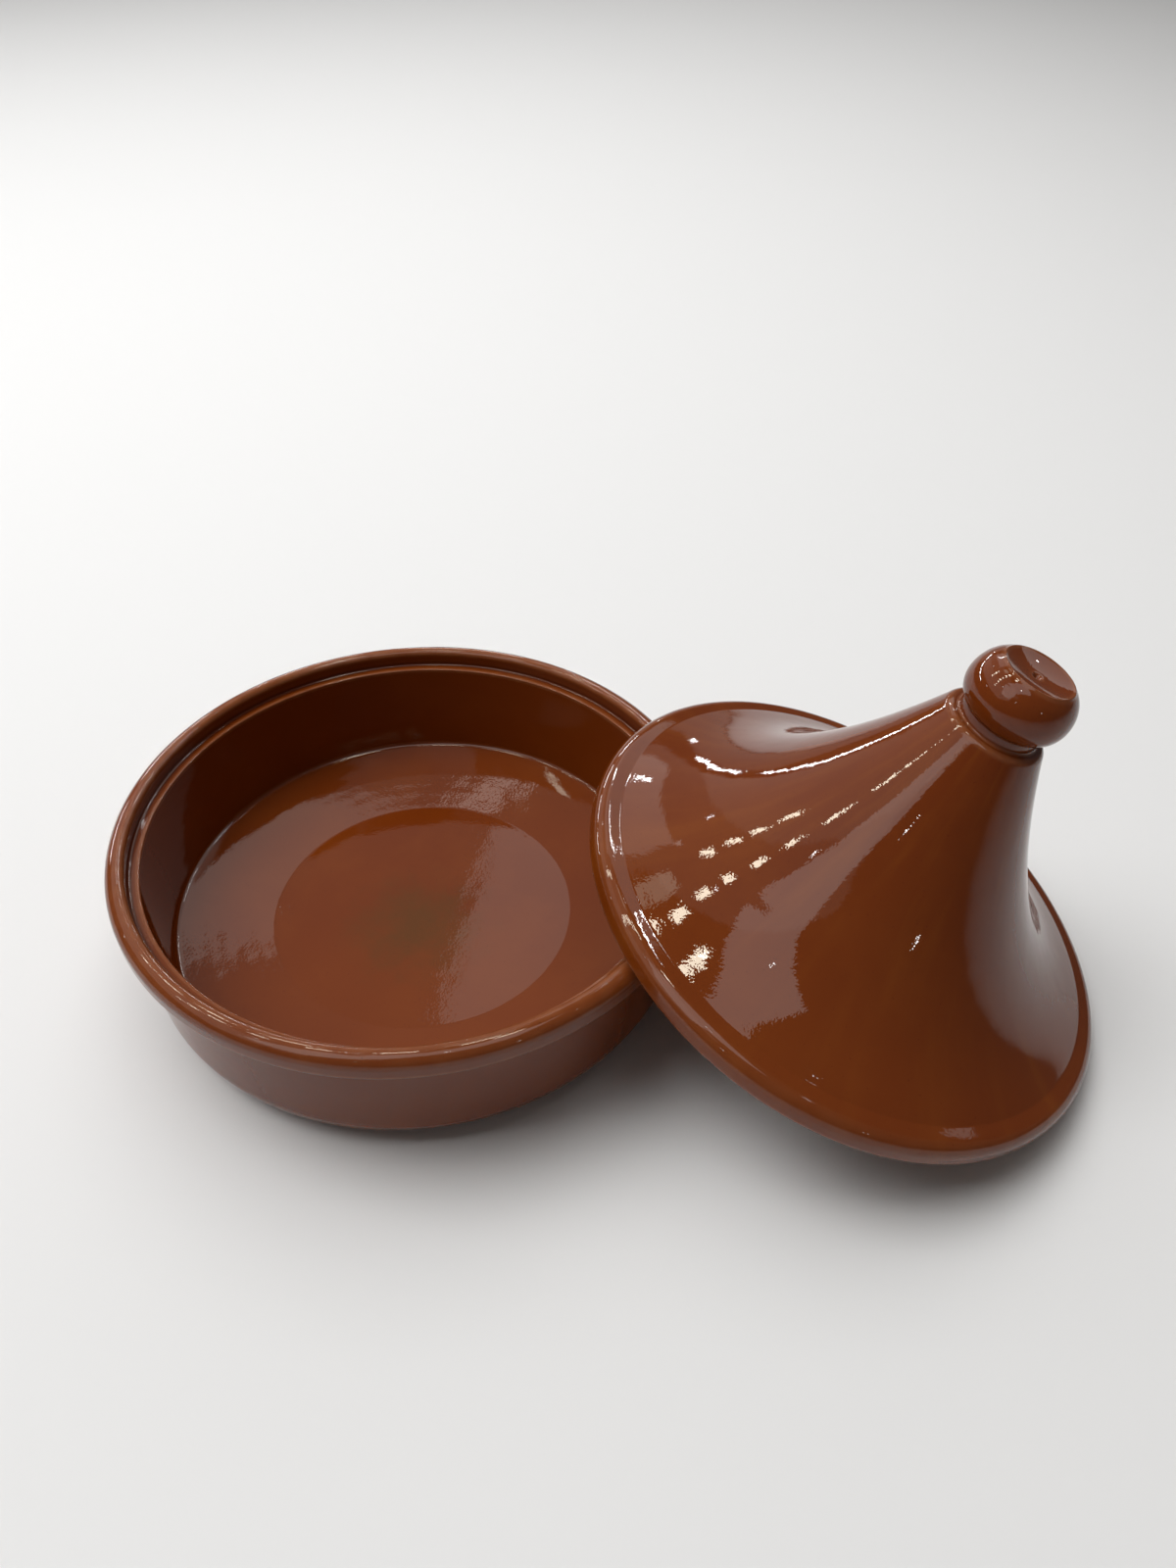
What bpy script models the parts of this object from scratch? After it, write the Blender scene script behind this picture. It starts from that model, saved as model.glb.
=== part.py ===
"""Glazed earthenware tagine: a shallow round dish and a conical lid that leans on its rim.

Metres, Z up. The origin is the middle of the dish's base, on the table.
X runs from the dish to the lid. The lid is drawn upright about its own axis and then leaned.
"""

import math

import bmesh
import bpy
from mathutils import Matrix

MM = 0.001

# Dish, outside
RIM_R = 140.0 * MM
DISH_H = 76.2 * MM
LIP_OUT = 6.0 * MM
LIP_IN = 3.0 * MM
LIP_R = RIM_R - LIP_OUT
BAND_DEPTH = 11.4 * MM
BAND_Z = DISH_H - BAND_DEPTH
BAND_EDGE = 1.6 * MM
BAND_ROOT = 1.5 * MM
BAND_OVERHANG = 7.6 * MM
WALL_TOP_R = RIM_R - BAND_OVERHANG
WALL_DRAFT = 0.7 * MM
HEEL_W = 29.0 * MM
HEEL_H = 19.3 * MM

# Dish, gallery that the lid sits in
GALLERY_R = LIP_R - LIP_IN
GALLERY_DEPTH = 8.7 * MM
GALLERY_Z = DISH_H - GALLERY_DEPTH
GALLERY_FILLET = 1.2 * MM
LEDGE_W = 5.0 * MM
LEDGE_R = GALLERY_R - LEDGE_W
LEDGE_EDGE = 0.8 * MM

# Dish, inside. The floor is flat in the middle, then climbs to the foot of the wall.
WELL_DRAFT = 4.7 * MM
WELL_R = LEDGE_R - WELL_DRAFT
WELL_FILLET = 3.0 * MM
FLOOR_Z = 8.5 * MM
FLOOR_RISE = 9.1 * MM
FLOOR_FLAT_R = 75.0 * MM
FLOOR_SWEEP = 0.18

# Lid, outside. Heights are from the plane of its foot.
LID_CLEARANCE = 1.1 * MM
LID_R = GALLERY_R - LID_CLEARANCE
FOOT_EDGE = 4.2 * MM
FOOT_W = 4.2 * MM
FOOT_INNER = 2.0 * MM
FOOT_R = LID_R - FOOT_EDGE - FOOT_W
ROLL_TOP = 13.9 * MM
ROLL_R = 6.6 * MM
BRIM_SLOPE = math.radians(8.0)
BRIM_W = 10.7 * MM
CREASE_FILLET = 4.0 * MM
BELL_SLOPE = math.radians(24.0)
BELL_REACH = 20.3 * MM
NECK_R = 22.8 * MM
NECK_Z = 123.3 * MM
NECK_SLOPE = math.radians(64.5)
NECK_REACH = 98.8 * MM
SHOULDER_R = 4.2 * MM
SHOULDER_END = math.radians(70.0)

# Lid, inside
LID_WALL = 8.0 * MM
ROOF_WALL = 8.5 * MM
BRIM_FILLET = 2.5 * MM

# Knob, luted to the top of the lid. Heights are from its own foot.
SEAT_GAP = 0.3 * MM
WAIST_INSET = 2.8 * MM
WAIST_FILLET = 1.0 * MM
KNOB_FLARE = 5.3 * MM
GIRTH_H = 14.3 * MM
UNDER_W = 10.2 * MM
UNDER_H = 11.5 * MM
OVER_W = 12.7 * MM
KNOB_H = 27.8 * MM
KNOB_EDGE_IN = 7.1 * MM
KNOB_EDGE_ROUND = 0.9 * MM
KNOB_DISH = 2.3 * MM
DIMPLE_R = 2.2 * MM
DIMPLE_DEPTH = 1.8 * MM

# Where the lid leans, past the dish's rim
LID_OUT = 65.8 * MM
LID_X = RIM_R + LID_OUT
LEAN_GAP = 0.3 * MM

STEPS = 80
KNOB_STEPS = 48
SAME_POINT = 0.02 * MM


def arc(cr, cz, rr, rz, start, end, count):
    """Points of an ellipse's arc in the (radius, height) plane, angles in radians."""
    points = []
    for i in range(count):
        a = start + (end - start) * i / (count - 1)
        points.append((cr + rr * math.cos(a), cz + rz * math.sin(a)))
    return points


def rounded(before, corner, after, radius, count):
    """The arc that rounds a corner between the lines to the points before and after it."""
    back = math.atan2(before[1] - corner[1], before[0] - corner[0])
    ahead = math.atan2(after[1] - corner[1], after[0] - corner[0])
    half_turn = 0.5 * math.remainder(ahead - back, 2 * math.pi)
    reach = radius / abs(math.sin(half_turn))
    centre_r = corner[0] + reach * math.cos(back + half_turn)
    centre_z = corner[1] + reach * math.sin(back + half_turn)
    square = math.copysign(math.pi / 2, half_turn)
    start = back - square
    sweep = math.remainder(ahead + square - start, 2 * math.pi)
    return arc(centre_r, centre_z, radius, radius, start, start + sweep, count)


def on_curve(handles, t):
    """The point of a cubic curve at t, from 0 to 1."""
    shares = ((1 - t) ** 3, 3 * (1 - t) ** 2 * t, 3 * (1 - t) * t * t, t ** 3)
    r = sum(share * handle[0] for share, handle in zip(shares, handles))
    z = sum(share * handle[1] for share, handle in zip(shares, handles))
    return r, z


def curve_normal(handles, t):
    """The unit normal of a curve that climbs towards the axis, pointing away from the axis."""
    near = on_curve(handles, t - 0.0005)
    far = on_curve(handles, t + 0.0005)
    dr = far[0] - near[0]
    dz = far[1] - near[1]
    length = math.hypot(dr, dz)
    return dz / length, -dr / length


def behind_curve(handles, t, depth):
    """The point that lies this deep behind the curve at t."""
    r, z = on_curve(handles, t)
    nr, nz = curve_normal(handles, t)
    return r - depth * nr, z - depth * nz


def halved(low, high, past):
    """The value between low and high where the test turns true."""
    for _ in range(40):
        middle = 0.5 * (low + high)
        if past(middle):
            high = middle
        else:
            low = middle
    return high


def joined(*pieces):
    """One list of points, leaving out any that repeats the one before it."""
    points = []
    for piece in pieces:
        for p in piece:
            if not points or math.dist(points[-1], p) > SAME_POINT:
                points.append(p)
    return points


def floor_point(share):
    """A point of the climbing floor, from its flat middle at 0 to the foot of the wall at 1."""
    climb = (1 - FLOOR_SWEEP) * share + FLOOR_SWEEP * share * share
    return FLOOR_FLAT_R + (WELL_R - FLOOR_FLAT_R) * share, FLOOR_Z + FLOOR_RISE * climb


def well():
    """The dish's inside, from the middle of its floor to where the wall stands up."""
    climb = [floor_point(i / 6) for i in range(6)]
    wall_foot = rounded(floor_point(0.95), floor_point(1.0), (LEDGE_R, GALLERY_Z), WELL_FILLET, 5)
    return [(0.0, FLOOR_Z)] + climb + wall_foot


def dish_profile():
    """From the middle of the floor, out and over the rim, and down to the middle of the base."""
    half = math.pi / 2
    heel_r = WALL_TOP_R - WALL_DRAFT - HEEL_W
    return joined(
        well(),
        arc(LEDGE_R + LEDGE_EDGE, GALLERY_Z - LEDGE_EDGE, LEDGE_EDGE, LEDGE_EDGE, math.pi, half, 4),
        arc(
            GALLERY_R - GALLERY_FILLET, GALLERY_Z + GALLERY_FILLET,
            GALLERY_FILLET, GALLERY_FILLET, -half, 0.0, 3,
        ),
        arc(LIP_R, DISH_H - LIP_IN, LIP_IN, LIP_IN, math.pi, half, 5),
        arc(LIP_R, DISH_H - LIP_OUT, LIP_OUT, LIP_OUT, half, 0.0, 7),
        arc(RIM_R - BAND_EDGE, BAND_Z + BAND_EDGE, BAND_EDGE, BAND_EDGE, 0.0, -half, 4),
        arc(
            WALL_TOP_R + BAND_ROOT, BAND_Z - BAND_ROOT,
            BAND_ROOT, BAND_ROOT, half, math.pi, 3,
        ),
        arc(heel_r, HEEL_H, HEEL_W, HEEL_H, 0.0, -half, 9),
        [(0.0, 0.0)],
    )


def roll():
    """The rounded edge of the lid's brim."""
    end = math.pi / 2 - BRIM_SLOPE
    return arc(LID_R - ROLL_R, ROLL_TOP - ROLL_R, ROLL_R, ROLL_R, 0.0, end, 7)


def climbed(start, slope, reach):
    """The point this far along a line that climbs towards the axis at this slope."""
    return start[0] - reach * math.cos(slope), start[1] + reach * math.sin(slope)


def crease():
    """The hollow line where the flatter brim turns up into the bell."""
    edge = roll()[-1]
    corner = climbed(edge, BRIM_SLOPE, (edge[0] - LID_R + BRIM_W) / math.cos(BRIM_SLOPE))
    return rounded(edge, corner, climbed(corner, BELL_SLOPE, BELL_REACH), CREASE_FILLET, 3)


def bell():
    """The handles of the lid's outer curve, from the crease of its brim up to its neck."""
    start = crease()[-1]
    neck = (NECK_R, NECK_Z)
    return (
        start,
        climbed(start, BELL_SLOPE, BELL_REACH),
        climbed(neck, NECK_SLOPE, -NECK_REACH),
        neck,
    )


def shoulder():
    """The rounded step from the neck in to the flat that carries the knob."""
    centre_r = NECK_R - SHOULDER_R * math.sin(NECK_SLOPE)
    centre_z = NECK_Z - SHOULDER_R * math.cos(NECK_SLOPE)
    start = math.pi / 2 - NECK_SLOPE
    return arc(centre_r, centre_z, SHOULDER_R, SHOULDER_R, start, SHOULDER_END, 5)


def dome(handles, t):
    """Radius and centre height of the ball that meets the hollow's wall smoothly at t."""
    r, z = behind_curve(handles, t, LID_WALL)
    nr, nz = curve_normal(handles, t)
    radius = r / nr
    return radius, z - radius * nz


def hollow():
    """The lid's inner line, from its foot up under the bell to the axis."""
    handles = bell()
    wall_r = FOOT_R - FOOT_INNER
    roof_z = shoulder()[-1][1] - ROOF_WALL
    start = halved(0.0, 0.5, lambda t: behind_curve(handles, t, LID_WALL)[0] < wall_r - BRIM_FILLET)
    end = halved(0.3, 1.0, lambda t: sum(dome(handles, t)) > roof_z)
    brim_z = behind_curve(handles, start, LID_WALL)[1]
    corner = arc(
        wall_r - BRIM_FILLET, brim_z - BRIM_FILLET, BRIM_FILLET, BRIM_FILLET, 0.0, math.pi / 2, 4,
    )
    under = [behind_curve(handles, start + (end - start) * i / 11, LID_WALL) for i in range(12)]
    radius, centre_z = dome(handles, end)
    nr, nz = curve_normal(handles, end)
    top = arc(0.0, centre_z, radius, radius, math.atan2(nz, nr), math.pi / 2, 5)
    return joined(corner, under, top)


def lid_profile():
    """From the top of the neck out and down to the foot, then up the hollow to its middle."""
    half = math.pi / 2
    handles = bell()
    outer = [on_curve(handles, i / 14) for i in range(15)]
    foot = arc(LID_R - FOOT_EDGE, FOOT_EDGE, FOOT_EDGE, FOOT_EDGE, 0.0, -half, 5)
    foot_in = arc(FOOT_R, FOOT_INNER, FOOT_INNER, FOOT_INNER, -half, -math.pi, 4)
    top = shoulder()[::-1]
    brim = roll() + crease()
    return joined([(0.0, top[0][1])], top, outer[::-1], brim[::-1], foot, foot_in, hollow())


def knob_profile():
    """From the middle of the knob's top, out over its edge and down to the middle of its foot."""
    top_r, foot_z = shoulder()[-1]
    foot_z += SEAT_GAP
    waist_r = top_r - WAIST_INSET
    girth_r = waist_r + KNOB_FLARE
    girth_z = foot_z + GIRTH_H
    edge_r = girth_r - KNOB_EDGE_IN
    over_r = girth_r - OVER_W
    edge = math.acos((edge_r - over_r) / OVER_W)
    over = arc(over_r, girth_z, OVER_W, (KNOB_H - GIRTH_H) / math.sin(edge), edge, 0.0, 7)
    under_r = girth_r - UNDER_W
    meet = -math.acos((waist_r + WAIST_FILLET - under_r) / UNDER_W)
    under = arc(under_r, girth_z, UNDER_W, UNDER_H, 0.0, meet, 6)
    top_z = foot_z + KNOB_H + 0.35 * KNOB_EDGE_ROUND
    low_z = top_z - KNOB_DISH
    return joined(
        [(0.0, low_z - DIMPLE_DEPTH), (0.5 * DIMPLE_R, low_z - 0.75 * DIMPLE_DEPTH)],
        [(DIMPLE_R, low_z)],
        [(0.4 * edge_r, low_z + 0.12 * KNOB_DISH)],
        [(0.7 * edge_r, low_z + 0.50 * KNOB_DISH)],
        [(edge_r - KNOB_EDGE_ROUND, top_z - 0.08 * KNOB_DISH)],
        [(edge_r - 0.45 * KNOB_EDGE_ROUND, top_z)],
        over,
        under,
        [(waist_r, under[-1][1] - WAIST_FILLET)],
        [(waist_r, foot_z)],
        [(0.0, foot_z)],
    )


def base_height(lean):
    """How high the middle of the lid's foot lies when the lid leans and its low edge is on the table."""
    return (LID_R - FOOT_EDGE) * math.sin(lean) + FOOT_EDGE * (1 - math.cos(lean))


def lean_gap(lean, azimuths):
    """Smallest space between the lid's inner foot edge and the dish's lip at this lean."""
    least = RIM_R
    for azimuth in azimuths:
        x = FOOT_R * math.cos(azimuth)
        y = FOOT_R * math.sin(azimuth)
        px = LID_X + x * math.cos(lean) + FOOT_INNER * math.sin(lean)
        pz = base_height(lean) - x * math.sin(lean) + FOOT_INNER * math.cos(lean)
        reach = math.hypot(px, y) - LIP_R
        outer = math.hypot(reach, pz - (DISH_H - LIP_OUT)) - LIP_OUT
        inner = math.hypot(reach, pz - (DISH_H - LIP_IN)) - LIP_IN
        least = min(least, outer - FOOT_INNER, inner - FOOT_INNER)
    return least


def lean_angle():
    """The lean at which the lid's foot comes down to LEAN_GAP above the dish's lip."""
    azimuths = [math.radians(60.0 + 0.25 * i) for i in range(481)]
    steep = math.radians(30.0)
    step = math.radians(0.5)
    while lean_gap(steep - step, azimuths) > LEAN_GAP:
        steep -= step
    return halved(steep - step, steep, lambda lean: lean_gap(lean, azimuths) > LEAN_GAP)


def material(name, colour, roughness):
    made = bpy.data.materials.new(name)
    made.use_nodes = True
    shader = made.node_tree.nodes["Principled BSDF"]
    shader.inputs["Base Color"].default_value = (*colour, 1.0)
    shader.inputs["Roughness"].default_value = roughness
    return made


def revolve(name, profile, steps, colour, roughness):
    """A closed solid of revolution about Z from a profile that starts and ends on the axis."""
    mesh = bpy.data.meshes.new(name)
    solid = bmesh.new()
    rings = []
    for r, z in profile:
        if r < 1e-7:
            rings.append([solid.verts.new((0.0, 0.0, z))])
            continue
        ring = []
        for i in range(steps):
            a = 2 * math.pi * i / steps
            ring.append(solid.verts.new((r * math.cos(a), r * math.sin(a), z)))
        rings.append(ring)
    for upper, lower in zip(rings, rings[1:]):
        for i in range(steps):
            j = (i + 1) % steps
            if len(upper) == 1:
                solid.faces.new((upper[0], lower[i], lower[j]))
            elif len(lower) == 1:
                solid.faces.new((upper[i], lower[0], upper[j]))
            else:
                solid.faces.new((upper[i], lower[i], lower[j], upper[j]))
    bmesh.ops.recalc_face_normals(solid, faces=solid.faces)
    if solid.calc_volume(signed=True) < 0:
        bmesh.ops.reverse_faces(solid, faces=solid.faces)
    solid.to_mesh(mesh)
    solid.free()
    mesh.shade_smooth()
    mesh.set_sharp_from_angle(angle=math.radians(35.0))
    made = bpy.data.objects.new(name, mesh)
    made.data.materials.append(material(name, colour, roughness))
    bpy.context.scene.collection.objects.link(made)
    return made


def build():
    for old in list(bpy.data.objects):
        bpy.data.objects.remove(old, do_unlink=True)

    revolve("dish", dish_profile(), STEPS, (0.21, 0.058, 0.018), 0.15)
    lid = revolve("lid", lid_profile(), STEPS, (0.22, 0.062, 0.020), 0.15)
    knob = revolve("lid_knob", knob_profile(), KNOB_STEPS, (0.22, 0.064, 0.022), 0.15)

    lean = lean_angle()
    carrier = bpy.data.objects.new("lid_carrier", None)
    bpy.context.scene.collection.objects.link(carrier)
    carrier.matrix_world = (
        Matrix.Translation((LID_X, 0.0, base_height(lean))) @ Matrix.Rotation(lean, 4, "Y")
    )
    lid.parent = carrier
    knob.parent = carrier


build()
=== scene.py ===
"""Glazed earthenware tagine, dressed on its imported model: finely turned surfaces, glaze, studio and camera.

Metres, Z up, in the part's frame. The dish stands on the origin and the lid leans towards +X.
"""

import math

import bmesh
import bpy
from mathutils import Matrix, Quaternion, Vector

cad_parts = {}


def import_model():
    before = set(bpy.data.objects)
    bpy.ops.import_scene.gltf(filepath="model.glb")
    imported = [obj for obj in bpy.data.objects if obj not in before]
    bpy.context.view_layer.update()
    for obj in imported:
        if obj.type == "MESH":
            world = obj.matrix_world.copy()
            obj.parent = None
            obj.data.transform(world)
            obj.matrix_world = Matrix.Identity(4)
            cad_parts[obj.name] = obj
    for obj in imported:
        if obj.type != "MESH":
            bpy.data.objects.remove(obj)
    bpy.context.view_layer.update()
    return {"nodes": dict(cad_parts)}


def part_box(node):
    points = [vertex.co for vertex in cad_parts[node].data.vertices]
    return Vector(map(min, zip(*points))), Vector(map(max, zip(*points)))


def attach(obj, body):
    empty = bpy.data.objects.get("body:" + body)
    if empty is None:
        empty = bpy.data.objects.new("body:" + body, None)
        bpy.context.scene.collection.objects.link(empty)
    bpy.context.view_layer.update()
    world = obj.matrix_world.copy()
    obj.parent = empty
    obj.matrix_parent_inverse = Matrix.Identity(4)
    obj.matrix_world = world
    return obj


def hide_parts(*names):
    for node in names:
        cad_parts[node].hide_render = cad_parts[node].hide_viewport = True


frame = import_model()

MM = 0.001
HALF = math.pi / 2

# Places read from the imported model
dish_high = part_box("dish")[1]
lid_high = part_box("lid")[1]
RIM_R = dish_high.x
DISH_H = dish_high.z
LID_R = lid_high.y

# Dish, outside
LIP_OUT = 6.0 * MM
LIP_IN = 3.0 * MM
LIP_R = RIM_R - LIP_OUT
BAND_Z = DISH_H - 11.4 * MM
BAND_EDGE = 1.6 * MM
BAND_ROOT = 1.5 * MM
WALL_TOP_R = RIM_R - 7.6 * MM
WALL_DRAFT = 0.7 * MM
HEEL_W = 29.0 * MM
HEEL_H = 19.3 * MM
BASE_R = WALL_TOP_R - WALL_DRAFT - HEEL_W

# Dish, gallery and inside. The floor is flat in the middle, then climbs to the foot of the wall.
GALLERY_R = LIP_R - LIP_IN
GALLERY_Z = DISH_H - 8.7 * MM
GALLERY_FILLET = 1.2 * MM
LEDGE_R = GALLERY_R - 5.0 * MM
LEDGE_EDGE = 0.8 * MM
WELL_R = LEDGE_R - 4.7 * MM
WELL_FILLET = 3.0 * MM
FLOOR_Z = 8.5 * MM
FLOOR_RISE = 9.1 * MM
FLOOR_FLAT_R = 75.0 * MM
FLOOR_SWEEP = 0.18
FLOOR_EASE = 9.0 * MM
FLOOR_RING_W = 8.0 * MM
FLOOR_RING_H = 0.007 * MM
FLOOR_PARTS = 40
FLOOR_LAST = 38
FLOOR_START = 0.02

# Lid. Heights are from the plane of its foot.
FOOT_EDGE = 4.2 * MM
FOOT_W = 4.2 * MM
FOOT_INNER = 2.0 * MM
FOOT_R = LID_R - FOOT_EDGE - FOOT_W
ROLL_TOP = 13.9 * MM
ROLL_R = 6.6 * MM
BRIM_SLOPE = math.radians(8.0)
BRIM_W = 10.7 * MM
CREASE_FILLET = 4.0 * MM
BELL_SLOPE = math.radians(24.0)
BELL_REACH = 20.3 * MM
NECK_R = 22.8 * MM
NECK_Z = 123.3 * MM
NECK_SLOPE = math.radians(64.5)
NECK_REACH = 98.8 * MM
SHOULDER_R = 4.2 * MM
SHOULDER_END = math.radians(70.0)
LID_WALL = 8.0 * MM
ROOF_WALL = 8.5 * MM
BRIM_FILLET = 2.5 * MM
BELL_PARTS = 130
HOLLOW_PARTS = 90

# Knob. Heights are from the lid's top flat, which its fillet of glaze reaches.
SEAT_GAP = 0.3 * MM
WAIST_INSET = 2.8 * MM
WAIST_FILLET = 1.0 * MM
KNOB_FLARE = 5.3 * MM
GIRTH_H = 14.3 * MM
UNDER_W = 10.2 * MM
UNDER_H = 11.5 * MM
OVER_W = 12.7 * MM
KNOB_H = 27.8 * MM
KNOB_EDGE_IN = 7.1 * MM
KNOB_EDGE_ROUND = 0.9 * MM
KNOB_DISH = 2.3 * MM
DIMPLE_R = 2.2 * MM
DIMPLE_DEPTH = 1.8 * MM
DIMPLE_SPREAD = 1.2 * DIMPLE_R
DIMPLE_PARTS = 8
SAUCER_PARTS = 14
SAUCER_H = 0.92 * KNOB_DISH
SAUCER_SWEEP = 1.7
# The crest that rounds the knob's top edge: its height, then points so far in from the edge and so far down
CREST_H = 0.315 * MM
CREST = ((0.63 * MM, 0.046 * MM), (0.36 * MM, 0.0), (0.135 * MM, 0.108 * MM))

# How finely the surfaces are cut
STEPS = 240
KNOB_STEPS = 160
SPACING = 1.4 * MM
SAME_POINT = 0.02 * MM
ARC_LEAST = 5
ARC_MORE = 14
NUDGE = 0.0005
HALVINGS = 40
TURN_WINDOW = 2.5 * MM
TABLE_GAP = 0.018 * MM
RUN_PITCH = 3.0

# Camera, as the photograph was taken
CAM_DISTANCE = 0.5843
CAM_AZIMUTH = 18.49
CAM_ELEVATION = 48.36
CAM_TURN = -9.13
CAM_TILT = 5.80
CAM_ROLL = -7.41
CAM_LENS = 25.33
CAM_SENSOR = 36.0
CAM_NEAR = 0.01
CAM_FAR = 50.0


def arc(cr, cz, rr, rz, start, end):
    """Points of an ellipse's arc in the (radius, height) plane, angles in radians."""
    count = ARC_LEAST + int(ARC_MORE * abs(end - start) / HALF)
    points = []
    for i in range(count):
        a = start + (end - start) * i / (count - 1)
        points.append((cr + rr * math.cos(a), cz + rz * math.sin(a)))
    return points


def rounded(before, corner, after, radius):
    """The arc that rounds a corner between the lines to the points before and after it."""
    back = math.atan2(before[1] - corner[1], before[0] - corner[0])
    ahead = math.atan2(after[1] - corner[1], after[0] - corner[0])
    half_turn = 0.5 * math.remainder(ahead - back, 2 * math.pi)
    reach = radius / abs(math.sin(half_turn))
    centre_r = corner[0] + reach * math.cos(back + half_turn)
    centre_z = corner[1] + reach * math.sin(back + half_turn)
    square = math.copysign(HALF, half_turn)
    start = back - square
    sweep = math.remainder(ahead + square - start, 2 * math.pi)
    return arc(centre_r, centre_z, radius, radius, start, start + sweep)


def on_curve(handles, t):
    """The point of a cubic curve at t, from 0 to 1."""
    shares = ((1 - t) ** 3, 3 * (1 - t) ** 2 * t, 3 * (1 - t) * t * t, t ** 3)
    r = sum(share * handle[0] for share, handle in zip(shares, handles))
    z = sum(share * handle[1] for share, handle in zip(shares, handles))
    return r, z


def curve_normal(handles, t):
    """The unit normal of a curve that climbs towards the axis, pointing away from the axis."""
    near = on_curve(handles, t - NUDGE)
    far = on_curve(handles, t + NUDGE)
    dr = far[0] - near[0]
    dz = far[1] - near[1]
    length = math.hypot(dr, dz)
    return dz / length, -dr / length


def behind_curve(handles, t, depth):
    """The point that lies this deep behind the curve at t."""
    r, z = on_curve(handles, t)
    nr, nz = curve_normal(handles, t)
    return r - depth * nr, z - depth * nz


def halved(low, high, past):
    """The value between low and high where the test turns true."""
    for _ in range(HALVINGS):
        middle = 0.5 * (low + high)
        if past(middle):
            high = middle
        else:
            low = middle
    return high


def joined(*pieces):
    """One line of points, with long straight stretches cut up so that the mesh stays even."""
    points = []
    for piece in pieces:
        for p in piece:
            if not points:
                points.append(p)
                continue
            last = points[-1]
            gap = math.dist(last, p)
            if gap < SAME_POINT:
                continue
            cuts = max(1, round(gap / SPACING))
            for i in range(1, cuts + 1):
                points.append(
                    (last[0] + (p[0] - last[0]) * i / cuts, last[1] + (p[1] - last[1]) * i / cuts)
                )
    return points


def floor_point(share):
    """A point of the climbing floor, from its flat middle at 0 to the foot of the wall at 1.

    The potter's fingers left faint rings on it.
    """
    climb = (1 - FLOOR_SWEEP) * share + FLOOR_SWEEP * share * share
    r = FLOOR_FLAT_R + (WELL_R - FLOOR_FLAT_R) * share
    ring = FLOOR_RING_H * math.sin(math.pi * share) * math.sin(2 * math.pi * r / FLOOR_RING_W)
    return r, FLOOR_Z + FLOOR_RISE * climb + ring


def well():
    """The dish's inside, from the middle of its floor to where the wall stands up."""
    crease = rounded((0.0, FLOOR_Z), floor_point(0.0), floor_point(FLOOR_START), FLOOR_EASE)
    climb = [floor_point(i / FLOOR_PARTS) for i in range(1, FLOOR_LAST)]
    last = floor_point(FLOOR_LAST / FLOOR_PARTS)
    wall_foot = rounded(last, floor_point(1.0), (LEDGE_R, GALLERY_Z), WELL_FILLET)
    return [(0.0, FLOOR_Z)] + crease + climb + wall_foot


def dish_profile():
    """From the middle of the floor, out and over the rim, and down to the middle of the base."""
    return joined(
        well(),
        arc(LEDGE_R + LEDGE_EDGE, GALLERY_Z - LEDGE_EDGE, LEDGE_EDGE, LEDGE_EDGE, math.pi, HALF),
        arc(
            GALLERY_R - GALLERY_FILLET, GALLERY_Z + GALLERY_FILLET,
            GALLERY_FILLET, GALLERY_FILLET, -HALF, 0.0,
        ),
        arc(LIP_R, DISH_H - LIP_IN, LIP_IN, LIP_IN, math.pi, HALF),
        arc(LIP_R, DISH_H - LIP_OUT, LIP_OUT, LIP_OUT, HALF, 0.0),
        arc(RIM_R - BAND_EDGE, BAND_Z + BAND_EDGE, BAND_EDGE, BAND_EDGE, 0.0, -HALF),
        arc(WALL_TOP_R + BAND_ROOT, BAND_Z - BAND_ROOT, BAND_ROOT, BAND_ROOT, HALF, math.pi),
        arc(BASE_R, HEEL_H, HEEL_W, HEEL_H, 0.0, -HALF),
        [(0.0, 0.0)],
    )


def roll():
    """The rounded edge of the lid's brim."""
    return arc(LID_R - ROLL_R, ROLL_TOP - ROLL_R, ROLL_R, ROLL_R, 0.0, HALF - BRIM_SLOPE)


def climbed(start, slope, reach):
    """The point this far along a line that climbs towards the axis at this slope."""
    return start[0] - reach * math.cos(slope), start[1] + reach * math.sin(slope)


def crease():
    """The hollow line where the flatter brim turns up into the bell."""
    edge = roll()[-1]
    corner = climbed(edge, BRIM_SLOPE, (edge[0] - LID_R + BRIM_W) / math.cos(BRIM_SLOPE))
    return rounded(edge, corner, climbed(corner, BELL_SLOPE, BELL_REACH), CREASE_FILLET)


def bell():
    """The handles of the lid's outer curve, from the crease of its brim up to its neck."""
    start = crease()[-1]
    neck = (NECK_R, NECK_Z)
    return (
        start,
        climbed(start, BELL_SLOPE, BELL_REACH),
        climbed(neck, NECK_SLOPE, -NECK_REACH),
        neck,
    )


def shoulder():
    """The rounded step from the neck in to the flat that carries the knob."""
    centre_r = NECK_R - SHOULDER_R * math.sin(NECK_SLOPE)
    centre_z = NECK_Z - SHOULDER_R * math.cos(NECK_SLOPE)
    return arc(centre_r, centre_z, SHOULDER_R, SHOULDER_R, HALF - NECK_SLOPE, SHOULDER_END)


def dome(handles, t):
    """Radius and centre height of the ball that meets the hollow's wall smoothly at t."""
    r, z = behind_curve(handles, t, LID_WALL)
    nr, nz = curve_normal(handles, t)
    radius = r / nr
    return radius, z - radius * nz


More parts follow.
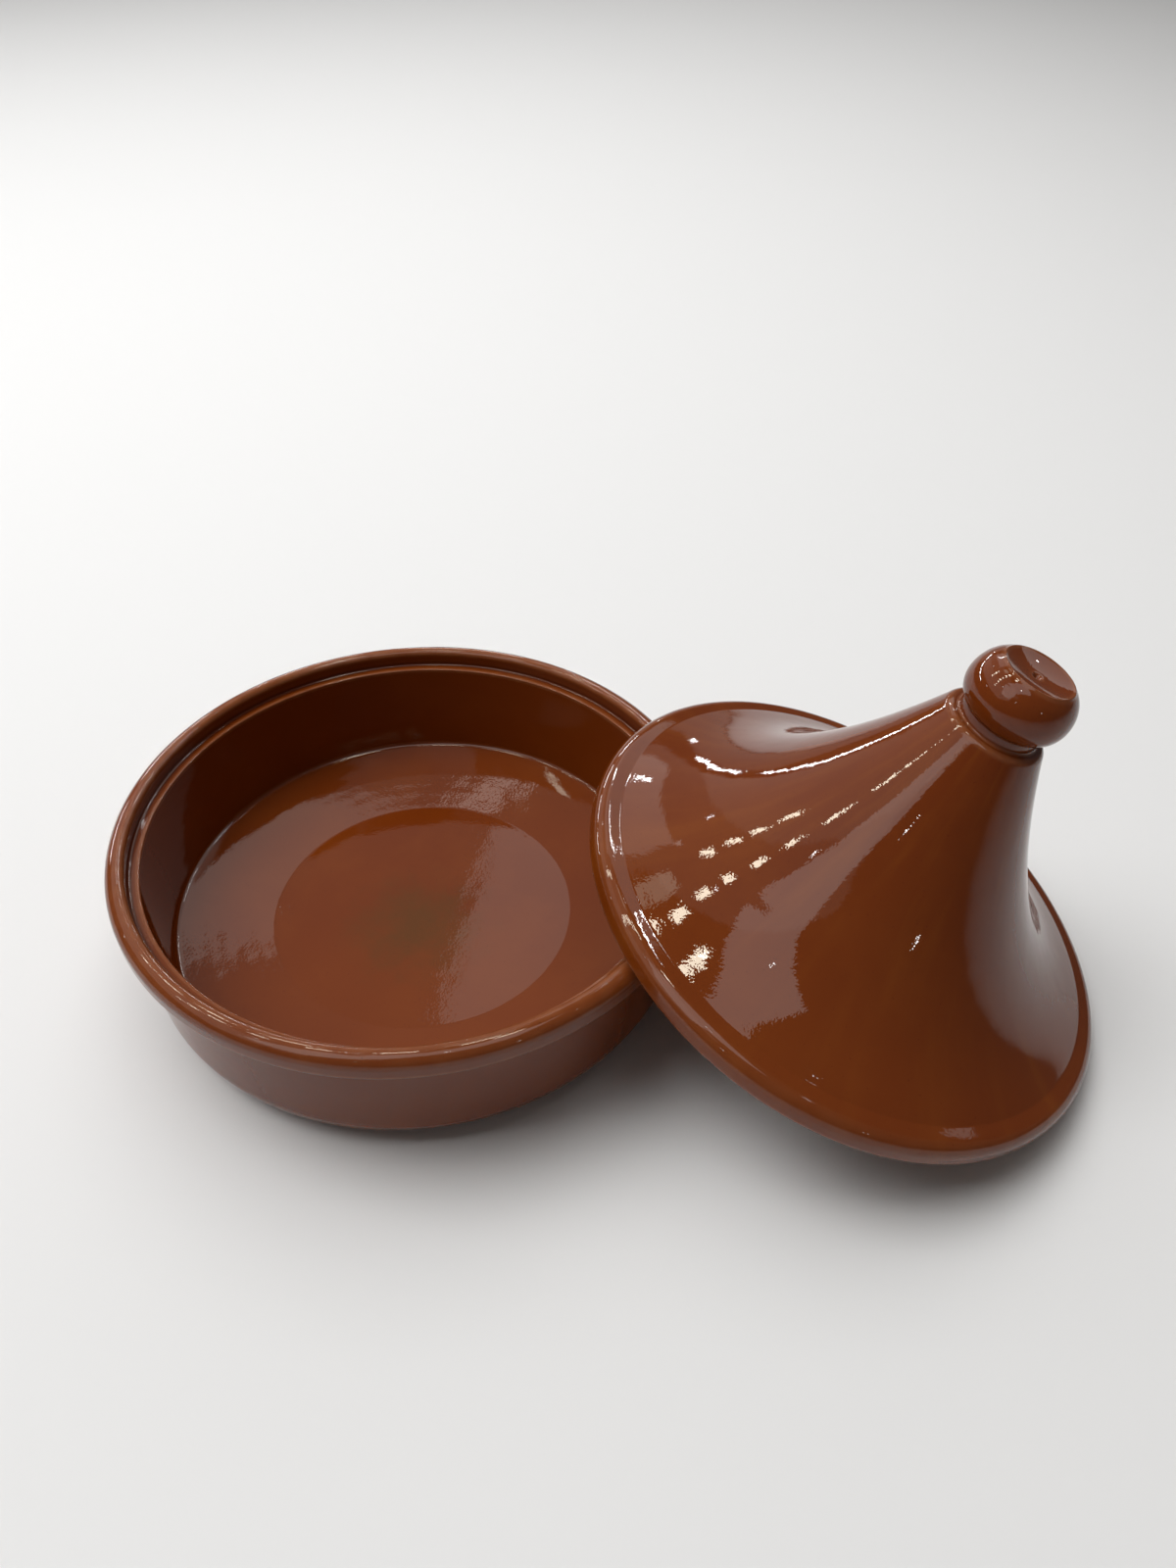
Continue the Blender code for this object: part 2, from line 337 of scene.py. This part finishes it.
def hollow():
    """The lid's inner line, from its foot up under the bell to the axis."""
    handles = bell()
    wall_r = FOOT_R - FOOT_INNER
    roof_z = shoulder()[-1][1] - ROOF_WALL
    start = halved(0.0, 0.5, lambda t: behind_curve(handles, t, LID_WALL)[0] < wall_r - BRIM_FILLET)
    end = halved(0.3, 1.0, lambda t: sum(dome(handles, t)) > roof_z)
    brim_z = behind_curve(handles, start, LID_WALL)[1]
    corner = arc(wall_r - BRIM_FILLET, brim_z - BRIM_FILLET, BRIM_FILLET, BRIM_FILLET, 0.0, HALF)
    under = []
    for i in range(HOLLOW_PARTS + 1):
        under.append(behind_curve(handles, start + (end - start) * i / HOLLOW_PARTS, LID_WALL))
    radius, centre_z = dome(handles, end)
    nr, nz = curve_normal(handles, end)
    top = arc(0.0, centre_z, radius, radius, math.atan2(nz, nr), HALF)
    return joined(corner, under, top)


def lid_profile():
    """From the top of the neck out and down to the foot, then up the hollow to its middle."""
    handles = bell()
    outer = [on_curve(handles, i / BELL_PARTS) for i in range(BELL_PARTS + 1)]
    foot = arc(LID_R - FOOT_EDGE, FOOT_EDGE, FOOT_EDGE, FOOT_EDGE, 0.0, -HALF)
    foot_in = arc(FOOT_R, FOOT_INNER, FOOT_INNER, FOOT_INNER, -HALF, -math.pi)
    top = shoulder()[::-1]
    brim = roll() + crease()
    return joined([(0.0, top[0][1])], top, outer[::-1], brim[::-1], foot, foot_in, hollow())


def knob_profile():
    """From the middle of the knob's top, out over its edge and down to the middle of its foot."""
    top_r, seat_z = shoulder()[-1]
    foot_z = seat_z + SEAT_GAP
    waist_r = top_r - WAIST_INSET
    girth_r = waist_r + KNOB_FLARE
    girth_z = foot_z + GIRTH_H
    edge_r = girth_r - KNOB_EDGE_IN
    over_r = girth_r - OVER_W
    edge = math.acos((edge_r - over_r) / OVER_W)
    over = arc(over_r, girth_z, OVER_W, (KNOB_H - GIRTH_H) / math.sin(edge), edge, 0.0)
    under_r = girth_r - UNDER_W
    meet = -math.acos((waist_r + WAIST_FILLET - under_r) / UNDER_W)
    under = arc(under_r, girth_z, UNDER_W, UNDER_H, 0.0, meet)
    top_z = foot_z + KNOB_H + CREST_H
    low_z = top_z - KNOB_DISH
    dimple = []
    for i in range(DIMPLE_PARTS + 1):
        share = i / DIMPLE_PARTS
        depth = 0.5 * DIMPLE_DEPTH * (1 + math.cos(math.pi * share))
        dimple.append((DIMPLE_SPREAD * share, low_z - depth))
    saucer = []
    for i in range(1, SAUCER_PARTS + 1):
        share = i / SAUCER_PARTS
        r = DIMPLE_SPREAD + (edge_r - KNOB_EDGE_ROUND - DIMPLE_SPREAD) * share
        saucer.append((r, low_z + SAUCER_H * share ** SAUCER_SWEEP))
    crest = [(edge_r - inward, top_z - down) for inward, down in CREST]
    waist_z = under[-1][1] - WAIST_FILLET
    return joined(
        dimple,
        saucer,
        crest,
        over,
        under,
        arc(waist_r + WAIST_FILLET, waist_z, WAIST_FILLET, WAIST_FILLET, HALF, math.pi),
        arc(
            waist_r + WAIST_FILLET, seat_z + WAIST_FILLET,
            WAIST_FILLET, WAIST_FILLET, math.pi, 3 * HALF,
        ),
        [(0.0, seat_z)],
    )


def turning(profile):
    """How sharply the line turns at each point, per metre: above zero over an edge, below in a corner."""
    lengths = [0.0]
    for a, b in zip(profile, profile[1:]):
        lengths.append(lengths[-1] + math.dist(a, b))
    turns = []
    for i, here in enumerate(lengths):
        before = i
        while before > 0 and here - lengths[before] < TURN_WINDOW:
            before -= 1
        after = i
        while after < len(profile) - 1 and lengths[after] - here < TURN_WINDOW:
            after += 1
        if before == i or after == i:
            turns.append(0.0)
            continue
        a, b, c = profile[before], profile[i], profile[after]
        ahead = math.atan2(c[1] - b[1], c[0] - b[0])
        behind = math.atan2(b[1] - a[1], b[0] - a[0])
        turn = math.remainder(behind - ahead, 2 * math.pi)
        turns.append(turn / (0.5 * (lengths[after] - lengths[before])))
    return turns


def revolve(name, profile, steps, materials, bare=None):
    """A closed surface of revolution about Z. Rings where bare(r, z) holds take the second material.

    The attribute edge_turn holds how sharply the profile turns, for the glaze to thin and pool by.
    The attribute around holds the way out from the axis and a little of the height, for its runs.
    """
    mesh = bpy.data.meshes.new(name)
    solid = bmesh.new()
    turn_layer = solid.verts.layers.float.new("edge_turn")
    around_layer = solid.verts.layers.float_vector.new("around")
    rings = []
    for (r, z), turn in zip(profile, turning(profile)):
        count = steps if r > SAME_POINT else 1
        ring = []
        for i in range(count):
            a = 2 * math.pi * i / steps
            vert = solid.verts.new((r * math.cos(a), r * math.sin(a), z))
            vert[turn_layer] = turn
            vert[around_layer] = (math.cos(a), math.sin(a), RUN_PITCH * z)
            ring.append(vert)
        rings.append(ring)
    for k, (upper, lower) in enumerate(zip(rings, rings[1:])):
        middle_r = 0.5 * (profile[k][0] + profile[k + 1][0])
        middle_z = 0.5 * (profile[k][1] + profile[k + 1][1])
        slot = 1 if bare and bare(middle_r, middle_z) else 0
        for i in range(steps):
            j = (i + 1) % steps
            if len(upper) == 1:
                corners = (upper[0], lower[i], lower[j])
            elif len(lower) == 1:
                corners = (upper[i], lower[0], upper[j])
            else:
                corners = (upper[i], lower[i], lower[j], upper[j])
            solid.faces.new(corners).material_index = slot
    bmesh.ops.recalc_face_normals(solid, faces=solid.faces)
    if solid.calc_volume(signed=True) < 0:
        bmesh.ops.reverse_faces(solid, faces=solid.faces)
    solid.to_mesh(mesh)
    solid.free()
    mesh.shade_smooth()
    for material in materials:
        mesh.materials.append(material)
    made = bpy.data.objects.new(name, mesh)
    bpy.context.scene.collection.objects.link(made)
    return made


def middle_of(node):
    """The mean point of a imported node, which lies on the axis it was turned about."""
    total = Vector((0.0, 0.0, 0.0))
    points = frame["nodes"][node].data.vertices
    for point in points:
        total += point.co
    return total / len(points)


def lid_place():
    """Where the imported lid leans: its foot's middle, with Z along its own axis.

    It is a hair higher, because a finer foot edge would reach below the table.
    """
    middle = middle_of("lid")
    axis = (middle_of("lid_knob") - middle).normalized()
    lean = math.atan2(axis.x, axis.z)
    foot = min((point.co - middle).dot(axis) for point in frame["nodes"]["lid"].data.vertices)
    above = Vector((0.0, 0.0, TABLE_GAP))
    return Matrix.Translation(middle + foot * axis + above) @ Matrix.Rotation(lean, 4, "Y")


class Shader:
    """A material's nodes, made and joined in short lines."""

    def __init__(self, name):
        self.material = bpy.data.materials.new(name)
        self.material.use_nodes = True
        self.tree = self.material.node_tree
        self.surface = self.tree.nodes["Principled BSDF"]

    def node(self, kind, **settings):
        made = self.tree.nodes.new(kind)
        for key, value in settings.items():
            setattr(made, key, value)
        return made

    def join(self, source, target):
        self.tree.links.new(source, target)

    def place(self):
        return self.node("ShaderNodeTexCoord").outputs["Object"]

    def noise(self, scale, detail=2.0, roughness=0.5, place=None):
        made = self.node("ShaderNodeTexNoise")
        self.join(place or self.place(), made.inputs["Vector"])
        made.inputs["Scale"].default_value = scale
        made.inputs["Detail"].default_value = detail
        made.inputs["Roughness"].default_value = roughness
        return made.outputs["Fac"]

    def spread(self, source, low, high, to_low=0.0, to_high=1.0):
        made = self.node("ShaderNodeMapRange", interpolation_type="SMOOTHSTEP")
        self.join(source, made.inputs["Value"])
        made.inputs["From Min"].default_value = low
        made.inputs["From Max"].default_value = high
        made.inputs["To Min"].default_value = to_low
        made.inputs["To Max"].default_value = to_high
        return made.outputs["Result"]

    def math(self, operation, first, second):
        made = self.node("ShaderNodeMath", operation=operation)
        for socket, value in zip(made.inputs, (first, second)):
            if isinstance(value, (int, float)):
                socket.default_value = value
            else:
                self.join(value, socket)
        return made.outputs["Value"]

    def distance(self, point):
        """How far a surface point lies from this point of the object."""
        made = self.node("ShaderNodeVectorMath", operation="DISTANCE")
        self.join(self.place(), made.inputs[0])
        made.inputs[1].default_value = point
        return made.outputs["Value"]

    def tint(self, share, under, over):
        """Lays one colour over another by a share. Each is a colour or another node's output."""
        made = self.node("ShaderNodeMix", data_type="RGBA")
        self.join(share, made.inputs[0])
        for socket, value in zip((made.inputs[6], made.inputs[7]), (under, over)):
            if isinstance(value, tuple):
                socket.default_value = (*value, 1.0)
            else:
                self.join(value, socket)
        return made.outputs[2]

    def bump(self, height, depth, under=None):
        made = self.node("ShaderNodeBump")
        made.inputs["Strength"].default_value = 1.0
        made.inputs["Distance"].default_value = depth
        self.join(height, made.inputs["Height"])
        if under is not None:
            self.join(under, made.inputs["Normal"])
        return made.outputs["Normal"]


GLAZE = (0.158, 0.0308, 0.0034)
GLAZE_DEEP = (0.138, 0.0245, 0.0028)
GLAZE_WARM = (0.182, 0.0400, 0.0050)
GLAZE_RUN = (0.205, 0.0500, 0.0055)
GLAZE_THIN = (0.240, 0.0800, 0.0300)
GLAZE_POOL = (0.062, 0.0090, 0.0015)
DULL = (0.098, 0.0340, 0.0060)
CLAY = (0.46, 0.20, 0.105)
CLAY_DARK = (0.33, 0.13, 0.065)
CLAY_GRAIN = (0.62, 0.42, 0.28)
DULL_PLACE = (0.0, -0.012, FLOOR_Z)
DULL_R = 36 * MM
GLAZE_IOR = 1.42
# The glaze's clouds are scaled a little differently on each piece
DISH_SEED = 1.0
LID_SEED = 1.15
KNOB_SEED = 1.3

# How the glaze varies. Each noise has a scale per metre, a detail and mostly a roughness. Each band has
# the two readings between which the noise fades in, and how much there is of it before and after.
DRIFT = (7.0, 2.0)
DRIFT_BAND = (0.3, 0.7)
CLOUD = (30.0, 3.0, 0.6)
CLOUD_BAND = (0.42, 0.72, 0.0, 0.30)
RUN = (5.0, 3.0, 0.55)
RUN_BAND = (0.45, 0.75, 0.0, 0.45)
POLISH = (26.0, 3.0)
POLISH_BAND = (0.35, 0.75, 0.012, 0.026)
RAGGED = (90.0, 5.0, 0.7)
RAGGED_W = 1.5 * DULL_R
DULL_BAND = (0.70 * DULL_R, 2.0 * DULL_R, 0.85, 0.0)
DULL_ROUGH = 0.02
WANDER = (120.0, 2.0)
WANDER_BAND = (0.25, 0.75, 0.55, 1.0)
THIN_BAND = (60.0, 300.0, 0.0, 0.7)
POOL_BAND = (-60.0, -420.0, 0.0, 0.7)
SPECK = (900.0, 1.0)
SPECK_BAND = (0.735, 0.76, 0.0, 0.4)
# Its ripple, from the widest to the finest: a noise's scale per metre and detail, and a depth
RIPPLES = ((70.0, 1.0, 0.12 * MM), (480.0, 1.0, 0.018 * MM), (1150.0, 0.0, 0.010 * MM))

# The bare clay, in the same terms
CLAY_CLOUD = (55.0, 4.0, 0.6)
CLAY_BAND = (0.3, 0.7)
GRAIN = (1500.0, 1.0)
GRAIN_BAND = (0.66, 0.72, 0.0, 0.5)
MATT = (300.0, 2.0)
MATT_BAND = (0.3, 0.7, 0.72, 0.9)
SAND = (1100.0, 4.0, 0.65)
SAND_DEPTH = 0.08 * MM


def glaze(name, seed_scale, dull=False, runs=False):
    """Transparent brown glaze over red clay. It thins over edges, pools in corners and has a soft ripple.

    A worn dull patch and the soft streaks of glaze that ran down a slope come with dull and runs.
    """
    s = Shader(name)
    drift = s.spread(s.noise(DRIFT[0] * seed_scale, *DRIFT[1:]), *DRIFT_BAND)
    colour = s.tint(drift, GLAZE_DEEP, GLAZE)
    cloud = s.spread(s.noise(CLOUD[0] * seed_scale, *CLOUD[1:]), *CLOUD_BAND)
    colour = s.tint(cloud, colour, GLAZE_WARM)
    if runs:
        around = s.node("ShaderNodeAttribute", attribute_name="around").outputs["Vector"]
        streak = s.spread(s.noise(*RUN, place=around), *RUN_BAND)
        colour = s.tint(streak, colour, GLAZE_RUN)
    polish = s.spread(s.noise(*POLISH), *POLISH_BAND)
    if dull:
        ragged = s.math("MULTIPLY", s.noise(*RAGGED), RAGGED_W)
        apart = s.math("ADD", s.distance(DULL_PLACE), ragged)
        patch = s.spread(apart, *DULL_BAND)
        colour = s.tint(patch, colour, DULL)
        polish = s.math("ADD", polish, s.math("MULTIPLY", patch, DULL_ROUGH))
    turn = s.node("ShaderNodeAttribute", attribute_name="edge_turn").outputs["Fac"]
    wander = s.spread(s.noise(*WANDER), *WANDER_BAND)
    thin = s.math("MULTIPLY", s.spread(turn, *THIN_BAND), wander)
    colour = s.tint(thin, colour, GLAZE_THIN)
    colour = s.tint(s.spread(turn, *POOL_BAND), colour, GLAZE_POOL)
    specks = s.spread(s.noise(*SPECK), *SPECK_BAND)
    colour = s.tint(specks, colour, GLAZE_POOL)
    s.join(colour, s.surface.inputs["Base Color"])
    s.join(polish, s.surface.inputs["Roughness"])
    s.surface.inputs["IOR"].default_value = GLAZE_IOR
    ripple = None
    for scale, detail, depth in RIPPLES:
        ripple = s.bump(s.noise(scale, detail), depth, under=ripple)
    s.join(ripple, s.surface.inputs["Normal"])
    return s.material


def bare_clay(name):
    """The unglazed red clay of the resting faces: matt, sandy and a little worn."""
    s = Shader(name)
    cloud = s.spread(s.noise(*CLAY_CLOUD), *CLAY_BAND)
    colour = s.tint(cloud, CLAY_DARK, CLAY)
    grains = s.spread(s.noise(*GRAIN), *GRAIN_BAND)
    colour = s.tint(grains, colour, CLAY_GRAIN)
    s.join(colour, s.surface.inputs["Base Color"])
    s.join(s.spread(s.noise(*MATT), *MATT_BAND), s.surface.inputs["Roughness"])
    s.join(s.bump(s.noise(*SAND), SAND_DEPTH), s.surface.inputs["Normal"])
    return s.material


BASE_DEPTH = 0.5 * MM
BASE_MARGIN = 2 * MM
FOOT_DEPTH = 0.35 * MM
FOOT_MARGIN = MM


def on_dish_base(r, z):
    """The flat of the dish's base, which is wiped clean of glaze."""
    return z < BASE_DEPTH and r < BASE_R + BASE_MARGIN


def on_lid_foot(r, z):
    """The narrow ring that the lid stands on, which is wiped clean of glaze."""
    return z < FOOT_DEPTH and FOOT_R - FOOT_MARGIN < r < LID_R - FOOT_EDGE + FOOT_MARGIN


def dress(piece, body, node):
    """Attaches a piece to the body that carries it and hides the imported node it stands for."""
    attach(piece, body)
    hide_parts(node)


def tagine():
    clay = bare_clay("bare_clay")
    dish_skin = glaze("dish_glaze", DISH_SEED, dull=True)
    lid_skin = glaze("lid_glaze", LID_SEED, runs=True)
    knob_skin = glaze("knob_glaze", KNOB_SEED)
    dish = revolve("dish_glazed", dish_profile(), STEPS, (dish_skin, clay), on_dish_base)
    lid = revolve("lid_glazed", lid_profile(), STEPS, (lid_skin, clay), on_lid_foot)
    knob = revolve("knob_glazed", knob_profile(), KNOB_STEPS, (knob_skin,))
    place = lid_place()
    lid.data.transform(place)
    knob.data.transform(place)
    dress(dish, "dish", "dish")
    dress(lid, "lid", "lid")
    dress(knob, "lid", "lid_knob")


# Studio. The key, sky and far lamps light the object and the floor. The glaze mirrors the others.
FLOOR_HALF = 7.0
FLOOR_DROP = 0.15 * MM
FLOOR_COLOUR = (0.80, 0.798, 0.792)
FLOOR_ROUGH = 0.9
CEILING = 1.6
# The room's dim wall, low down and overhead: where the ramp has each, and its colour
ROOM_LOW_AT = 0.05
ROOM_LOW = (0.095, 0.093, 0.090, 1.0)
ROOM_HIGH_AT = 0.8
ROOM_HIGH = (0.13, 0.125, 0.12, 1.0)


def floor():
    mesh = bpy.data.meshes.new("floor")
    h = FLOOR_HALF
    corners = [(-h, -h, -FLOOR_DROP), (h, -h, -FLOOR_DROP), (h, h, -FLOOR_DROP), (-h, h, -FLOOR_DROP)]
    mesh.from_pydata(corners, [], [(0, 1, 2, 3)])
    made = bpy.data.objects.new("floor", mesh)
    bpy.context.scene.collection.objects.link(made)
    s = Shader("floor")
    s.surface.inputs["Base Color"].default_value = (*FLOOR_COLOUR, 1.0)
    s.surface.inputs["Roughness"].default_value = FLOOR_ROUGH
    s.surface.inputs["Specular IOR Level"].default_value = 0.0
    mesh.materials.append(s.material)


def world():
    """A dim even room, a little darker low down."""
    made = bpy.data.worlds.new("room")
    bpy.context.scene.world = made
    made.use_nodes = True
    tree = made.node_tree
    back = tree.nodes["Background"]
    where = tree.nodes.new("ShaderNodeTexCoord")
    split = tree.nodes.new("ShaderNodeSeparateXYZ")
    ramp = tree.nodes.new("ShaderNodeValToRGB")
    tree.links.new(where.outputs["Generated"], split.inputs["Vector"])
    tree.links.new(split.outputs["Z"], ramp.inputs["Fac"])
    tree.links.new(ramp.outputs["Color"], back.inputs["Color"])
    low, high = ramp.color_ramp.elements
    low.position = ROOM_LOW_AT
    low.color = ROOM_LOW
    high.position = ROOM_HIGH_AT
    high.color = ROOM_HIGH
    back.inputs["Strength"].default_value = 1.0


WHITE = (1.0, 1.0, 1.0)
BLUSH = (1.0, 0.86, 0.78)
PALE = (1.0, 0.95, 0.92)
WARM = (1.0, 0.93, 0.74)
MIDDLE = (0.10, 0.0, 0.05)


def lamp(name, place, width, depth, brightness, colour=WHITE):
    """A rectangular lamp of an even brightness, where a white wall in full light has 1. It faces down."""
    light = bpy.data.lights.new(name, "AREA")
    light.shape = "RECTANGLE"
    light.size = width
    light.size_y = depth
    light.energy = math.pi * width * depth * brightness
    light.color = colour
    made = bpy.data.objects.new(name, light)
    made.location = place
    made.rotation_mode = "QUATERNION"
    made.visible_camera = False
    bpy.context.scene.collection.objects.link(made)
    return made


def turned(made):
    """Aims a lamp at the middle of the object."""
    made.rotation_quaternion = (Vector(MIDDLE) - made.location).to_track_quat("-Z", "Y")
    return made


def lighting(*facts):
    """A lamp that lights and isn't mirrored."""
    made = lamp(*facts)
    made.visible_glossy = False
    return made


def mirrored(*facts, spin=0.0, **more):
    """A lamp that faces down, is mirrored in the glaze and lights nothing."""
    made = lamp(*facts, **more)
    made.visible_diffuse = False
    made.rotation_quaternion = Quaternion((0.0, 0.0, 1.0), math.radians(spin))
    return made


PANEL_Z = CEILING + 0.02
LAMP_Z = CEILING - 0.02
LAMP_W = 0.12
LAMP_D = 0.09
LAMP_SPIN = 16
LAMP_LEVEL = 26.0
# Rows of ceiling lamps: the first one's place, the step to the next, and how many
ROWS = (
    ((0.05, 0.30), (-0.26, -0.08), 7),
    ((-0.57, 0.60), (-0.24, 0.0), 4),
)
# Runs of strip lamps that the edges mirror: where the first one starts, how far each reaches,
# the step to the next, and how many. A direction is an azimuth from +Y towards +X and an elevation,
# in degrees.
STRIP_RUNS = (
    ((-66, 18), (12, 0), (16, 0), 4),
    ((-5, 36), (10, 4), (20, 8), 3),
)
STRIP_REACH = 2.4
STRIP_W = 0.035
STRIP_LEVEL = 60.0
# Small lamps on a rising spiral
SPARKS = 12
SPARK_TURN = 137.5
SPARK_LOW = 14.0
SPARK_HIGH = 82.0
SPARK_W = 0.04
SPARK_LEVEL = 40.0


def seen_at(azimuth, elevation):
    """The place of a lamp that is seen in this direction."""
    a = math.radians(azimuth)
    e = math.radians(elevation)
    return STRIP_REACH * Vector((math.sin(a) * math.cos(e), math.cos(a) * math.cos(e), math.sin(e)))


def strip(name, start, end):
    """A thin lamp from one place to another that faces the middle."""
    length = (end - start).length
    made = mirrored(name, 0.5 * (start + end), length, STRIP_W, STRIP_LEVEL)
    away = (made.location - Vector(MIDDLE)).normalized()
    across = away.cross(end - start).normalized()
    made.rotation_quaternion = Matrix((across.cross(away), across, away)).transposed().to_quaternion()


def ceiling_lamp(name, x, y):
    mirrored(name, (x, y, LAMP_Z), LAMP_W, LAMP_D, LAMP_LEVEL, colour=WARM, spin=LAMP_SPIN)


def lamps():
    turned(lighting("key", (-1.5, -0.2, 2.6), 1.9, 1.9, 4.0))
    lighting("sky", (-0.75, 1.0, 2.4), 3.0, 3.0, 2.0)
    lighting("far_lamp", (-0.3, 4.1, 2.4), 4.0, 2.8, 0.85)
    mirrored("near_ceiling", (-0.525, 1.30, PANEL_Z), 0.95, 5.4, 0.42, colour=BLUSH)
    mirrored("left_ceiling", (-1.90, 1.00, PANEL_Z), 1.8, 6.0, 0.85, colour=BLUSH)
    mirrored("front_panel", (0.26, -0.45, CEILING), 1.0, 0.70, 1.9, colour=PALE, spin=12)
    mirrored("front_wing", (-0.68, -0.98, CEILING), 1.3, 0.80, 1.9, colour=PALE, spin=41)
    mirrored("back_panel", (1.30, 2.00, CEILING), 3.3, 2.2, 1.1, colour=PALE)
    mirrored("square_lamp", (-0.05, 0.53, LAMP_Z), 0.20, 0.20, 2.4, colour=WARM, spin=14)
    mirrored("small_panel", (-0.38, 0.89, LAMP_Z), 0.06, 0.08, 3.0, colour=BLUSH)
    turned(mirrored("far_wall", (-0.5, 5.5, 0.75), 3.6, 1.4, 0.35, colour=BLUSH))
    ceiling_lamp("lone_lamp", 0.27, 0.06)
    for row, (start, step, count) in enumerate(ROWS):
        for i in range(count):
            ceiling_lamp(f"lamp_{row}_{i}", start[0] + step[0] * i, start[1] + step[1] * i)
    for run, (start, reach, step, count) in enumerate(STRIP_RUNS):
        for i in range(count):
            azimuth = start[0] + step[0] * i
            elevation = start[1] + step[1] * i
            end = seen_at(azimuth + reach[0], elevation + reach[1])
            strip(f"strip_{run}_{i}", seen_at(azimuth, elevation), end)
    for i in range(SPARKS):
        elevation = SPARK_LOW + (SPARK_HIGH - SPARK_LOW) * i / (SPARKS - 1)
        place = seen_at(SPARK_TURN * i, elevation)
        turned(mirrored(f"spark_{i}", place, SPARK_W, SPARK_W, SPARK_LEVEL))


def camera():
    data = bpy.data.cameras.new("camera")
    data.lens = CAM_LENS
    data.sensor_width = CAM_SENSOR
    data.clip_start = CAM_NEAR
    data.clip_end = CAM_FAR
    made = bpy.data.objects.new("camera", data)
    bpy.context.scene.collection.objects.link(made)
    a = math.radians(CAM_AZIMUTH)
    e = math.radians(CAM_ELEVATION)
    back = Vector((math.sin(a) * math.cos(e), -math.cos(a) * math.cos(e), math.sin(e)))
    aim = (-back).to_track_quat("-Z", "Y").to_matrix()
    aim = aim @ Matrix.Rotation(math.radians(CAM_TURN), 3, "Y")
    aim = aim @ Matrix.Rotation(math.radians(CAM_TILT), 3, "X")
    aim = aim @ Matrix.Rotation(math.radians(CAM_ROLL), 3, "Z")
    made.matrix_world = Matrix.Translation(CAM_DISTANCE * back) @ aim.to_4x4()
    bpy.context.scene.camera = made


tagine()
floor()
world()
lamps()
camera()
bpy.context.scene.view_settings.view_transform = "Standard"

bpy.context.view_layer.update()
